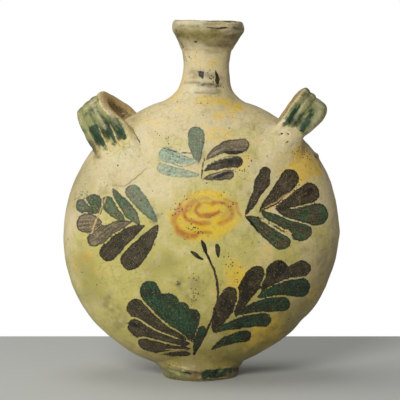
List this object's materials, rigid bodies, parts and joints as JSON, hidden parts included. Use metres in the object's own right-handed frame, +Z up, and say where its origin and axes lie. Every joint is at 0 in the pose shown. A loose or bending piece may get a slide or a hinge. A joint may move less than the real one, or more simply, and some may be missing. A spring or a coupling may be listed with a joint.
{
  "type": "pilgrim flask",
  "caption": "Flat round glazed earthenware flask on a foot ring, with a waisted neck, a cupped mouth and ribbed strap handles for a carrying cord.",
  "frame": {"origin": "centre of the foot ring's resting face, on the table under the body's axis", "axes": "+Z up through the neck, -Y out of the painted front, +X to the right of someone who looks at the front"},
  "size_m": [0.225, 0.116, 0.29],
  "materials": {
    "painted_glaze": "glossy cream tin glaze, mottled yellow-green, with brown, green and yellow painting, pits and chips",
    "green_glaze": "glossy copper-green glaze, thin and brown on the ridges",
    "bare_clay": "matt unglazed buff earthenware"
  },
  "bodies": {
    "root": {"front_shell": "painted_glaze", "back_shell": "painted_glaze", "seam_coil": "bare_clay", "neck": "painted_glaze", "neck_lute": "painted_glaze", "mouth": "painted_glaze", "foot_ring": "green_glaze", "foot_lute": "painted_glaze", "left_handle": "green_glaze", "right_handle": "green_glaze", "left_front_pad": "painted_glaze", "left_back_pad": "painted_glaze", "right_front_pad": "painted_glaze", "right_back_pad": "painted_glaze"}
  },
  "joints": []
}
